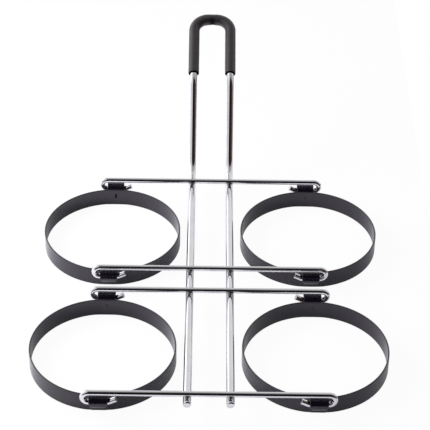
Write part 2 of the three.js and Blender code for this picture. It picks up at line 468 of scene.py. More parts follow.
@dataclass(frozen=True)
class Finish:
    """A surface finish, worked out from the shared group and the masks of the mesh.

    Args:
        name: the material's name.
        slot: the record's material slot; not used.
        colour: its main colour, linear.
        second_colour: the colour that patches drift to.
        edge_colour: the colour where the edges are worn.
        mask_colour: the colour under the mask that the piece carries.
        metallic: 1 for bare metal.
        roughness: smallest and largest, over the patches.
        edge_roughness: roughness where the edges are worn.
        mask_roughness: roughness under the mask.
        dull_mask: True where the mask also takes the shine away, as a scorched weld mark does.
        scales: sizes of the patches, the grain and the specks, in cells a metre.
        relief: height of the grain and of the patches, in metres.
        speck_strength: how far specks lighten the colour.
        ior: index of refraction of the surface.
    """

    name: str
    slot: str
    colour: tuple[float, float, float]
    second_colour: tuple[float, float, float]
    edge_colour: tuple[float, float, float]
    mask_colour: tuple[float, float, float]
    metallic: float
    roughness: tuple[float, float]
    edge_roughness: float
    mask_roughness: float
    scales: tuple[float, float, float]
    relief: tuple[float, float]
    speck_strength: float
    dull_mask: bool = False
    ior: float = 1.5

    def material(self) -> bpy.types.Material:
        """Builds the material the first time and finds it after that.

        Returns:
            The material.
        """
        found = bpy.data.materials.get(self.name)
        if found:
            return found
        made = bpy.data.materials.new(self.name)
        made.use_nodes = True
        board = NodeBoard(made.node_tree)
        edge = board.add("ShaderNodeAttribute", {"attribute_name": "edge"}, {}).outputs["Fac"]
        mask = board.add("ShaderNodeAttribute", {"attribute_name": "mask"}, {}).outputs["Fac"]
        patch_scale, grain_scale, speck_scale = self.scales
        life = board.add(
            "ShaderNodeGroup",
            {"node_tree": surface_life()},
            {
                "Patch Scale": patch_scale,
                "Grain Scale": grain_scale,
                "Speck Scale": speck_scale,
                "Edge": edge,
            },
        ).outputs
        drift = board.ramp(life["Patches"], PATCH_DRIFT)
        colour = board.mix(drift, (*self.colour, 1.0), (*self.second_colour, 1.0))
        speckled = board.math("MULTIPLY", life["Specks"], self.speck_strength)
        colour = board.mix(speckled, colour, WHITE)
        colour = board.mix(life["Worn Edge"], colour, (*self.edge_colour, 1.0))
        colour = board.mix(mask, colour, (*self.mask_colour, 1.0))
        rough = board.ramp(life["Patches"], Ramp(*PATCH_RANGE, *self.roughness))
        rough = self.towards(board, rough, life["Worn Edge"], self.edge_roughness)
        rough = self.towards(board, rough, mask, self.mask_roughness)
        grain_height, patch_height = self.relief
        height = board.math(
            "ADD",
            board.math("MULTIPLY", life["Grain"], grain_height),
            board.math("MULTIPLY", life["Patches"], patch_height),
        )
        bump = board.add("ShaderNodeBump", {}, {"Height": height, "Strength": 1.0, "Distance": 1.0})
        shader = board.add(
            "ShaderNodeBsdfPrincipled",
            {},
            {
                "Base Color": colour,
                "Metallic": mask if self.dull_mask else self.metallic,
                "Roughness": rough,
                "Normal": bump.outputs[0],
                "IOR": self.ior,
            },
        )
        board.add("ShaderNodeOutputMaterial", {}, {"Surface": shader.outputs[0]})
        return made

    @staticmethod
    def towards(board: NodeBoard, start: object, share: object, goal: float) -> bpy.types.NodeSocket:
        """A value moved by a share from where it is to a goal."""
        gap = board.math("SUBTRACT", goal, start)
        return board.math("ADD", start, board.math("MULTIPLY", gap, share))


class FinishName(Enum):
    """The finishes that the pieces choose among."""

    CHROME = Finish(
        name="bright chrome plate",
        slot="chromed_wire",
        colour=(0.80, 0.80, 0.81),
        second_colour=(0.76, 0.76, 0.78),
        edge_colour=(0.70, 0.70, 0.71),
        mask_colour=(0.42, 0.40, 0.39),
        metallic=1.0,
        roughness=(0.05, 0.09),
        edge_roughness=0.2,
        mask_roughness=0.24,
        scales=(90.0, 1800.0, 500.0),
        relief=(0.0000006, 0.00002),
        speck_strength=0.0,
    )
    COATING = Finish(
        name="black non-stick coating",
        slot="coated_steel",
        colour=(0.0066, 0.0038, 0.0112),
        second_colour=(0.0092, 0.0058, 0.0140),
        edge_colour=(0.035, 0.033, 0.037),
        mask_colour=(0.004, 0.004, 0.004),
        metallic=0.0,
        roughness=(0.15, 0.22),
        edge_roughness=0.3,
        mask_roughness=0.55,
        scales=(140.0, 2600.0, 1100.0),
        relief=(0.000003, 0.00002),
        speck_strength=0.012,
        dull_mask=True,
        ior=1.57,
    )
    # Under its mask: the dull cut faces, and painted shade in the crease at the crown
    VINYL = Finish(
        name="black vinyl sleeve",
        slot="grip_vinyl",
        colour=(0.016, 0.013, 0.0155),
        second_colour=(0.020, 0.0165, 0.0195),
        edge_colour=(0.03, 0.027, 0.03),
        mask_colour=(0.004, 0.004, 0.004),
        metallic=0.0,
        roughness=(0.34, 0.44),
        edge_roughness=0.5,
        mask_roughness=0.9,
        scales=(110.0, 1600.0, 700.0),
        relief=(0.000006, 0.00003),
        speck_strength=0.006,
        dull_mask=True,
        ior=1.62,
    )


def dress(
    surface: Surface, name: str, finish: FinishName, body: str, replaced: str, crease: float = 40.0
) -> None:
    """Makes a piece of a surface, gives it its finish and sets it on its body.

    Args:
        surface: the piece's surface.
        name: its name.
        finish: its finish.
        body: the body that it moves with.
        replaced: the node that it stands for, or nothing.
        crease: edges that turn by more than this many degrees stay sharp.
    """
    piece = surface.to_object(name, finish.value.material(), crease)
    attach(piece, body)
    if replaced:
        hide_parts(replaced)
    log.info("%s: %d vertices, on %s", name, len(surface.vertices), body)


# Sub-assemblies


@dataclass(frozen=True)
class Layout:
    """Sizes that the carrier and the hoops share, in millimetres.

    Args:
        hoop_radius: the hoops' outer radius.
        hoop_height: the height of their strip.
        seat_margin: how far a tab's seat goes past the tab on each side.
        tab_width: a tab's width, along its leg.
        tab_thickness: the thickness of its strip.
        tab_clearance: between the leg and the tab's bore.
        bore_rise: how much further the bore reaches up from the leg than down.
        tab_axis_drop: from the hoop's upper rim down to the leg's middle.
        wire_radius: of the cross wires.
        rod_radius: of the rod.
        rod_spacing: between the middles of the rod's two straight runs.
        hoop_to_rod: the gap between a hoop and the rod.
        inner_wire_pitch: between the middles of the two inner cross wires.
        hook_headroom: between a tab and the cross wire over it.
        rod_overhang: how far the rod's free ends reach past the foremost cross wire.
        weld_height: height of the spot welds that hold the tabs.
    """

    hoop_radius: float = 45.0
    hoop_height: float = 12.0
    seat_margin: float = 0.3
    tab_width: float = 11.3
    tab_thickness: float = 1.0
    tab_clearance: float = 0.95
    bore_rise: float = 0.6
    tab_axis_drop: float = 1.8
    wire_radius: float = 1.75
    rod_radius: float = 2.5
    rod_spacing: float = 25.5
    hoop_to_rod: float = 4.75
    inner_wire_pitch: float = 22.3
    hook_headroom: float = 0.95
    rod_overhang: float = 5.3
    weld_height: float = 7.2

    @property
    def seat_half_angle(self) -> float:
        """Half of the angle that a tab's seat takes up, seen from the hoop's middle."""
        return math.asin((self.tab_width / 2 + self.seat_margin) / self.hoop_radius)

    @property
    def seat_distance(self) -> float:
        """How far a tab's seat is from the hoop's middle."""
        return self.hoop_radius * math.cos(self.seat_half_angle)

    @property
    def bore_radius(self) -> float:
        """Inner radius of a tab's barrel."""
        return self.wire_radius + self.tab_clearance

    @property
    def leg_distance(self) -> float:
        """How far a hook's leg is from the hoop's middle."""
        return self.seat_distance + self.tab_thickness + self.bore_radius

    @property
    def leg_height(self) -> float:
        """Height of the hooks' legs."""
        return self.hoop_height - self.tab_axis_drop

    @property
    def hook_drop(self) -> float:
        """From the middle of a cross wire down to the middle of its leg."""
        return self.bore_radius + self.bore_rise + self.tab_thickness + self.hook_headroom + self.wire_radius

    @property
    def wire_height(self) -> float:
        """Height of the cross wires."""
        return self.leg_height + self.hook_drop

    @property
    def rod_height(self) -> float:
        """Height of the straight runs of the rod."""
        return self.wire_height - self.wire_radius - self.rod_radius

    @property
    def column_x(self) -> float:
        """How far the hoops' middles are from the middle line."""
        return self.rod_spacing / 2 + self.rod_radius + self.hoop_to_rod + self.hoop_radius

    @property
    def row_y(self) -> float:
        """How far the hoops' middles are from the middle between the rows."""
        return self.inner_wire_pitch / 2 + self.leg_distance

    @property
    def middle_y(self) -> float:
        """Place of the middle between the rows, from the rod's free ends at the footprint's edge."""
        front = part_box("carrier_rod")[0][1] / MM
        return front + self.rod_overhang + self.leg_distance + self.row_y


@dataclass(frozen=True)
class WireCarrier:
    """The welded carrier: the bent rod, four cross wires with their hooks, and the eight welds.

    Args:
        layout: the shared sizes.
        rise_setback: from the rear cross wire to the foot of the rise.
        rise_angle: the rise above the level, in degrees.
        rise_length: from the foot to the knee.
        grip_angle: the grip above the level, in degrees.
        grip_reach: from the knee to the far side of the loop.
        rod_bend: middle radius of the bends at the foot and at the knee.
        loop_flat: length of the straight piece at the loop's far side.
        rod_end_round: rounding of the rod's free ends.
        hook_play: between a tab and the bend of its hook.
        tip_setback: from a tab's inner side to the corner where the tip starts.
        tip_length: from that corner to the wire's end.
        tip_angle: the tip above the level, in degrees.
        tip_bend: middle radius of its bend.
        cut_round: rounding of the wires' cut ends.
        rod_sides: points round the rod.
        rod_step: the largest distance between stations along it.
        wire_sides: points round a cross wire.
        wire_step: the largest distance between stations along it.
        weld_reach: radius of a weld's metal round its crossing.
        weld_oval: how oval it is, as a share of that.
        weld_ragged: how uneven it is, as a share of that.
        weld_waist: how far its wall curves in, as a share of that.
        weld_buried: how far it goes into rod and wire.
        weld_sides: points round a weld.
        weld_rows: stations from the rod up to the wire.
        tint: strength of the dull colour that a weld leaves on the plate.
        tint_reach: how far from the crossing it stays full.
        tint_fade: how far it then takes to fade.
    """

    layout: Layout
    rise_setback: float = 18.0
    rise_angle: float = 52.0
    rise_length: float = 64.0
    grip_angle: float = 23.0
    grip_reach: float = 52.0
    rod_bend: float = 15.0
    loop_flat: float = 5.5
    rod_end_round: float = 1.1
    hook_play: float = 0.2
    tip_setback: float = 0.4
    tip_length: float = 5.2
    tip_angle: float = 27.0
    tip_bend: float = 3.5
    cut_round: float = 0.3
    rod_sides: int = 40
    rod_step: float = 1.5
    wire_sides: int = 32
    wire_step: float = 1.0
    weld_reach: float = 1.7
    weld_oval: float = 0.1
    weld_ragged: float = 0.05
    weld_waist: float = 0.22
    weld_buried: float = 0.12
    weld_sides: int = 40
    weld_rows: int = 9
    tint: float = 0.8
    tint_reach: float = 1.2
    tint_fade: float = 2.6

    def loop_corners(self) -> list[np.ndarray]:
        """The rod's left corners.

        Returns:
            The free end, the foot of the rise, the knee and the far side of the loop.
        """
        sizes = self.layout
        rear = sizes.middle_y + sizes.row_y + sizes.leg_distance
        front = sizes.middle_y - sizes.row_y - sizes.leg_distance - sizes.rod_overhang
        rise = math.radians(self.rise_angle)
        grip = math.radians(self.grip_angle)
        x = -sizes.rod_spacing / 2
        tip = np.array([x, front, sizes.rod_height])
        foot = np.array([x, rear + self.rise_setback, sizes.rod_height])
        knee = foot + self.rise_length * np.array([0.0, math.cos(rise), math.sin(rise)])
        top = knee + self.grip_reach * np.array([0.0, math.cos(grip), math.sin(grip)])
        return [tip, foot, knee, top]

    def rod_route(self) -> Route:
        """The whole rod's centre line.

        Returns:
            The path: up the left side, round the loop and down the right side.
        """
        left = self.loop_corners()
        right = [corner * MIRROR_X for corner in reversed(left)]
        bends = [self.rod_bend, self.rod_bend, (self.layout.rod_spacing - self.loop_flat) / 2]
        return Route.through(left + right, bends + bends[::-1])

    def crossings(self) -> np.ndarray:
        """Where the cross wires lie on the rod.

        Returns:
            The eight points where they touch, one row each.
        """
        sizes = self.layout
        touch = sizes.rod_height + sizes.rod_radius
        wires = [
            sizes.middle_y + row * sizes.row_y + wire * sizes.leg_distance
            for row in (-1, 1)
            for wire in (-1, 1)
        ]
        places = [[side * sizes.rod_spacing / 2, y, touch] for side in (-1, 1) for y in wires]
        return np.array(places)

    def weld_mask(self, grid: np.ndarray) -> np.ndarray:
        """The full tint at a weld, fading to zero a few millimetres away from it."""
        gaps = np.linalg.norm(grid[..., None, :] - self.crossings(), axis=-1).min(axis=-1)
        return self.tint * (1.0 - smooth_step((gaps - self.tint_reach) / self.tint_fade))

    def build_rod(self) -> None:
        """The long rod: a circle along its route, its free ends flat with a well rounded rim."""
        route = self.rod_route()
        stations, radii = bar_profile(route, self.rod_step, self.layout.rod_radius, self.rod_end_round)
        grid = round_bar(route, stations, radii, self.rod_sides, UP)
        masks = {"mask": self.weld_mask(grid), "edge": np.zeros(grid.shape[:2])}
        surface = Surface.from_grid(grid, True, masks)
        dress(surface, "chromed_rod", FinishName.CHROME, "carrier", "carrier_rod")

    def wire_route(self, y: float) -> Route:
        """A cross wire's centre line.

        Args:
            y: the wire's place along the carrier.

        Returns:
            The path from tip to tip, with a hook at each end.
        """
        sizes = self.layout
        outer = sizes.column_x + sizes.tab_width / 2 + self.hook_play + sizes.hook_drop / 2
        bend_x = sizes.column_x - sizes.tab_width / 2 - self.tip_setback
        angle = math.radians(self.tip_angle)
        tip_x = bend_x - self.tip_length * math.cos(angle)
        tip_z = sizes.leg_height + self.tip_length * math.sin(angle)
        right = [
            np.array([outer, y, sizes.wire_height]),
            np.array([outer, y, sizes.leg_height]),
            np.array([bend_x, y, sizes.leg_height]),
            np.array([tip_x, y, tip_z]),
        ]
        left = [corner * MIRROR_X for corner in reversed(right)]
        bends = [sizes.hook_drop / 2, sizes.hook_drop / 2, self.tip_bend]
        return Route.through(left + right, bends[::-1] + bends)

    def build_wire(self, name: str, y: float) -> None:
        """A cross wire: a circle along its route, its cut ends rounded off by a quarter circle.

        Args:
            name: the node that it stands for.
            y: the wire's place along the carrier.
        """
        route = self.wire_route(y)
        stations, radii = bar_profile(route, self.wire_step, self.layout.wire_radius, self.cut_round)
        grid = round_bar(route, stations, radii, self.wire_sides, BACK)
        from_end = np.minimum(stations, route.length - stations)
        edge = np.repeat((from_end <= self.cut_round)[:, None].astype(float), grid.shape[1], axis=1)
        surface = Surface.from_grid(grid, True, {"mask": self.weld_mask(grid), "edge": edge})
        dress(surface, f"chromed_{name}", FinishName.CHROME, "carrier", name)

    def weld_surface(self, centre: np.ndarray) -> Surface:
        """The metal squeezed out round one crossing.

        Its wall stands on a circle round the crossing, made uneven as 1 + o cos 2t + u cos(5t + y). It
        reaches from the round top of the rod up to the round underside of the wire, and at the share h of
        that height it curves in by 4wh(1 - h).

        Args:
            centre: the point where wire and rod touch.

        Returns:
            The closed surface.
        """
        sizes = self.layout
        turn = 2.0 * np.pi * np.arange(self.weld_sides) / self.weld_sides
        rise = np.linspace(0.0, 1.0, self.weld_rows)
        uneven = self.weld_oval * np.cos(2.0 * turn) + self.weld_ragged * np.cos(5.0 * turn + centre[1])
        waist = 1.0 - self.weld_waist * 4.0 * (rise * (1.0 - rise))
        radius = self.weld_reach * (1.0 + uneven)[None, :] * waist[:, None]
        x, y = radius * np.cos(turn), radius * np.sin(turn)
        rod_top = np.sqrt(np.clip(sizes.rod_radius**2 - x**2, 0.0, None)) - sizes.rod_radius
        wire_bottom = sizes.wire_radius - np.sqrt(np.clip(sizes.wire_radius**2 - y**2, 0.0, None))
        low, high = rod_top - self.weld_buried, wire_bottom + self.weld_buried
        z = low * (1.0 - rise[:, None]) + high * rise[:, None]
        grid = centre + np.stack([x, y, z], axis=-1)
        masks = {"mask": np.full(grid.shape[:2], self.tint), "edge": np.zeros(grid.shape[:2])}
        return Surface.from_grid(grid, True, masks)

    def build_welds(self) -> None:
        """The eight welds, each a small piece of its own."""
        for number, centre in enumerate(self.crossings(), start=1):
            dress(self.weld_surface(centre), f"weld_{number}", FinishName.CHROME, "carrier", "")

    def build(self) -> None:
        """Builds the whole carrier."""
        sizes = self.layout
        self.build_rod()
        for row, row_name in ((1, "rear"), (-1, "front")):
            for side, side_name in ((row, "outer"), (-row, "inner")):
                y = sizes.middle_y + row * sizes.row_y + side * sizes.leg_distance
                self.build_wire(f"{row_name}_{side_name}_cross_wire", y)
        self.build_welds()


@dataclass(frozen=True)
class GripSleeve:
    """The soft sleeve that is pushed over the loop of the rod.

    Distances from the crown of the loop are measured along the rod.

    Args:
        carrier: the carrier whose rod it sits on.
        setback: from the knee to the sleeve's end.
        wall: its thickness.
        fit: its clearance round the rod.
        lip: the rounding of its outer lips.
        lip_flesh: the rounding of its inner lips, as a share of the wall.
        mouth: how far these reach along the rod, as a share of the outer lips.
        cut_below: how far down the outer lip its cut face starts, as a share of the lip.
        cut_behind: how far along the rod the cut face goes, as a share of the lip.
        swell: height of each of the two waves that its surface has along its length.
        waves: their angles for each millimetre.
        pucker: height of the swelling beside the crease, its distance from the crown and its width.
        squeeze: how far it is squeezed out round the crown, how far that reaches and how slowly it fades.
        crease_depth: how deep the crease at the crown is.
        crease_width: how wide it is.
        painted_crease_shade: how dark the shade painted into the crease is.
        facing_reach: how far past the middle the side that faces in goes, as a sine.
        sides: points round the sleeve.
        rows: stations along it.
        lip_steps: stations round a lip.
    """

    carrier: WireCarrier
    setback: float = 5.0
    wall: float = 1.05
    fit: float = 0.2
    lip: float = 0.35
    lip_flesh: float = 0.35
    mouth: float = 0.6
    cut_below: float = 0.5
    cut_behind: float = 0.12
    swell: float = 0.012
    waves: tuple[float, float] = (0.9, 0.37)
    pucker: tuple[float, float, float] = (0.12, 4.6, 2.0)
    squeeze: tuple[float, float, float] = (0.22, 21.0, 8.0)
    crease_depth: float = 0.3
    crease_width: float = 2.2
    painted_crease_shade: float = 0.75
    facing_reach: float = 0.15
    sides: int = 48
    rows: int = 150
    lip_steps: int = 6

    def build(self) -> None:
        """Builds a tube wall whose profile of distance and radius is a rectangle with round lips."""
        carrier, lip = self.carrier, self.lip
        route = carrier.rod_route()
        after_knee = np.cumsum(route.lengths)[KNEE_STRETCH]
        knee_trim = carrier.rod_bend * math.tan(math.radians(carrier.rise_angle - carrier.grip_angle) / 2)
        start = after_knee - knee_trim + self.setback
        finish = route.length - start
        inner = carrier.layout.rod_radius + self.fit
        outer = inner + self.wall
        quarter = np.linspace(0.0, math.pi / 2, self.lip_steps)
        middle = np.linspace(start + lip, finish - lip, self.rows)[1:-1]
        around_lip = lip * np.sin(quarter)
        into_mouth = lip * (1.0 - np.cos(quarter)) * self.mouth
        distances = [
            start + lip - around_lip[::-1],
            middle,
            finish - lip + around_lip,
            finish - into_mouth,
            middle[::-1],
            start + into_mouth[::-1],
        ]
        distances = np.concatenate(distances)
        flesh = self.wall * self.lip_flesh
        outer_lip = outer - lip + lip * np.cos(quarter)
        inner_lip = inner + flesh * (1.0 - np.sin(quarter))
        plain = np.ones(len(middle))
        radii = [outer_lip[::-1], plain * outer, outer_lip, inner_lip, plain * inner, inner_lip[::-1]]
        radii = np.concatenate(radii)
        grid = round_bar(route, distances, radii, self.sides, UP)
        outward = unit(grid - route.at(distances)[0][:, None])
        from_crown = distances - route.length / 2
        outer_wall = (radii > inner + flesh)[:, None]
        give = self.give(distances, from_crown, outward) * outer_wall
        grid = grid + outward * give[..., None]
        from_end = np.minimum(distances - start, finish - distances)
        cut = (radii < outer - lip * self.cut_below) | (from_end < lip * self.cut_behind)
        # Painted shade: the crease is darkened under the mask as well as sunk in
        shade = self.painted_crease_shade * self.fold(from_crown, outward) * outer_wall
        masks = {"mask": np.maximum(cut[:, None].astype(float), shade), "edge": np.zeros(grid.shape[:2])}
        surface = Surface.from_grid(grid, False, masks)
        dress(surface, "vinyl_grip_sleeve", FinishName.VINYL, "carrier", "grip_sleeve")

    def give(self, distances: np.ndarray, from_crown: np.ndarray, outward: np.ndarray) -> np.ndarray:
        """How far the soft surface stands out or sinks in.

        It thins and swells a little along its length, by two sine waves, and is squeezed out on the inner
        side of the loop. At the crown it sinks into its crease, with a puckered swelling on each side of it.

        Args:
            distances: distances along the rod, one a row.
            from_crown: distances from the crown, one a row.
            outward: unit directions out of the sleeve, rows by sides by 3.

        Returns:
            Millimetres outwards, rows by sides.
        """
        height, place, width = self.pucker
        pucker = height * np.exp(-(((np.abs(from_crown) - place) / width) ** 2))
        strength, reach, fade = self.squeeze
        squeeze = strength * smooth_step((reach - np.abs(from_crown)) / fade)
        short, long = self.waves
        swell = self.swell * (np.sin(distances * short) + np.sin(distances * long + 1.0) - 2.0)
        crease = -self.crease_depth * self.fold(from_crown, outward)
        return swell[:, None] + (pucker + squeeze)[:, None] * self.facing_in(outward) + crease

    def facing_in(self, outward: np.ndarray) -> np.ndarray:
        """Where the sleeve faces into the loop.

        Args:
            outward: unit directions out of the sleeve, rows by sides by 3.

        Returns:
            One on the inner side, falling smoothly to zero on the far side, rows by sides.
        """
        grip = math.radians(self.carrier.grip_angle)
        into_loop = np.array([0.0, -math.cos(grip), -math.sin(grip)])
        return smooth_step(outward @ into_loop + self.facing_reach)

    def fold(self, from_crown: np.ndarray, outward: np.ndarray) -> np.ndarray:
        """The crease at the crown of the loop, for its sunken shape and its painted shade: exp(-(s/w)^2) on
        the side that faces in.

        Args:
            from_crown: distances from the crown, one a row.
            outward: unit directions out of the sleeve, rows by sides by 3.

        Returns:
            One in the middle of the crease, rows by sides.
        """
        return np.exp(-((from_crown / self.crease_width) ** 2))[:, None] * self.facing_in(outward)


@dataclass(frozen=True)
class HoopTab:
    """A tab: a strip that stands welded on its hoop and is curled over and round the leg of a hook.

    Args:
        layout: the shared sizes.
        centre: its hoop's middle on the ground.
        facing: 1 for a rear tab and -1 for a front one.
        rounding: of its edges.
        foot_height: where its lower end is.
        foot_corner: rounding of that end's corners.
        curl_end: angle of its free end round the leg, in degrees above the level.
        dent_radius: radius of the dent that a spot weld leaves.
        dent_depth: depth of that dent.
        dent_shade: how dark it is.
        wear: how worn the tab's edges are.
        rows: stations along its middle.
        tip_rows: stations along the half circle of its free end.
        tip_start: place of the first of these, as a share of a quarter turn.
        foot_rows: stations along the rounding of its foot.
        columns: points along each flat side of its cross-section.
        corner_steps: points round each of its edges.
    """

    layout: Layout
    centre: np.ndarray
    facing: int
    rounding: float = 0.4
    foot_height: float = 1.0
    foot_corner: float = 1.5
    curl_end: float = -75.0
    dent_radius: float = 0.6
    dent_depth: float = 0.12
    dent_shade: float = 0.2
    wear: float = 0.9
    rows: int = 80
    tip_rows: int = 30
    tip_start: float = 0.03
    foot_rows: int = 8
    columns: int = 25
    corner_steps: int = 5

    def route(self) -> Route:
        """Its centre line, with x as the distance out from the seat and z as the height.

        Returns:
            The path: up the seat, then over and round the leg to the free end.
        """
        sizes = self.layout
        half = sizes.tab_thickness / 2
        barrel = sizes.bore_radius + half
        sweep = math.pi - math.radians(self.curl_end)
        return Route(
            starts=np.array([[half, 0.0, self.foot_height], [half, 0.0, sizes.leg_height]]),
            headings=np.array([UP, UP]),
            inward=np.array([RIGHT, RIGHT]),
            curvatures=np.array([0.0, 1.0 / barrel]),
            lengths=np.array([sizes.leg_height - self.foot_height, barrel * sweep]),
        )

    def stations(self, length: float) -> np.ndarray:
        """Distances from the foot, closer together near both ends.

        Args:
            length: the tab's length along its centre line.

        Returns:
            The distances, rising.
        """
        full = self.layout.tab_width / 2
        tip = full * (1.0 - np.cos(np.linspace(self.tip_start, 1.0, self.tip_rows) * math.pi / 2))
        foot = self.foot_corner * (1.0 - np.cos(np.linspace(0.0, 1.0, self.foot_rows) * math.pi / 2))
        middle = np.linspace(self.foot_corner, length - full, self.rows)[1:-1]
        return np.concatenate([foot, middle, length - tip[::-1]])

    def half_widths(self, stations: np.ndarray, length: float) -> np.ndarray:
        """Half of its width, as both of its ends shape it.

        The free end is a half circle as wide as the tab, w = sqrt(r^2 - (r - d)^2) with d the distance from
        its tip. At the foot w is sqrt(c^2 - (c - d)^2) with c the corner radius, on top of the straight part.

        Args:
            stations: distances from the foot.
            length: the tab's length along its centre line.

        Returns:
            One half width for each station.
        """
        full = self.layout.tab_width / 2
        to_tip = np.clip(length - stations, 0.0, full)
        to_foot = np.clip(stations, 0.0, self.foot_corner)
        free_end = np.sqrt(full**2 - (full - to_tip) ** 2)
        corner = np.sqrt(self.foot_corner**2 - (self.foot_corner - to_foot) ** 2)
        return np.minimum(free_end, full - self.foot_corner + corner)

    def outline(self) -> tuple[np.ndarray, ...]:
        """Its cross-section, a rectangle with rounded corners, as shares of flat half sizes and of roundings.

        Returns:
            Across as a share of the flat half width and as a share of the rounding, and the same for depth.
        """
        flat = np.linspace(-1.0, 1.0, self.columns)
        quarter = np.linspace(0.0, math.pi / 2, self.corner_steps)
        none, whole = np.zeros(len(flat)), np.ones(len(flat))
        full, sine, cosine = np.ones(len(quarter)), np.sin(quarter), np.cos(quarter)
        sides = [
            (-flat, none, whole, whole),
            (-full, -sine, full, cosine),
            (-full, -cosine, -full, -sine),
            (flat, none, -whole, -whole),
            (full, sine, -full, -cosine),
            (full, cosine, full, sine),
        ]
        kept = [slice(None), slice(1, None), slice(None), slice(None), slice(1, None), slice(None, -1)]
        parts = [[values[keep] for values in side] for side, keep in zip(sides, kept)]
        return tuple(np.concatenate(part) for part in zip(*parts))

    def surface(self) -> Surface:
        """Its outline carried along the curl.

        Above the leg the curl is stretched upwards by the rise of its bore. A spot weld leaves a dent in the
        upright part, behind the leg. Edges are worn as 2 sin t cos t, most in the middle of their rounding.

        Returns:
            The closed surface, in place.
        """
        sizes, rounding = self.layout, self.rounding
        route = self.route()
        stations = self.stations(route.length)
        half_width = self.half_widths(stations, route.length)
        across_share, across_round, depth_share, depth_round = self.outline()
        bevel = np.minimum(rounding, half_width)[:, None]
        across = (half_width[:, None] - bevel) * across_share + bevel * across_round
        depth = (sizes.tab_thickness / 2 - rounding) * depth_share + rounding * depth_round
        centres, ways = route.at(stations)
        stretch = sizes.bore_rise / (sizes.bore_radius + sizes.tab_thickness / 2)
        above = centres[:, 2] - sizes.leg_height
        centres[:, 2] += stretch * np.clip(above, 0.0, None)
        ways[:, 2] *= np.where(above > 0.0, 1.0 + stretch, 1.0)
        ways = unit(ways)
        out = np.stack([-ways[:, 2], np.zeros(len(ways)), ways[:, 0]], axis=-1)
        place = centres[:, None] + out[:, None] * depth[None, :, None]
        outward, height = place[..., 0], place[..., 2]
        near_weld = np.hypot(across, height - sizes.weld_height) / self.dent_radius
        on_foot = (stations < route.lengths[0])[:, None] & (depth < 0.0)[None, :]
        dent = on_foot * (1.0 - smooth_step(near_weld - 1.0))
        y = self.facing * (sizes.seat_distance + outward - self.dent_depth * dent)
        grid = self.centre + np.stack([across, y, height], axis=-1)
        edge = np.clip(np.abs(across_round) * np.abs(depth_round) * 2.0, 0.0, 1.0)
        edge = np.repeat(edge[None, :], len(stations), axis=0)
        masks = {"mask": dent * self.dent_shade, "edge": edge * self.wear}
        return Surface.from_grid(grid, True, masks)


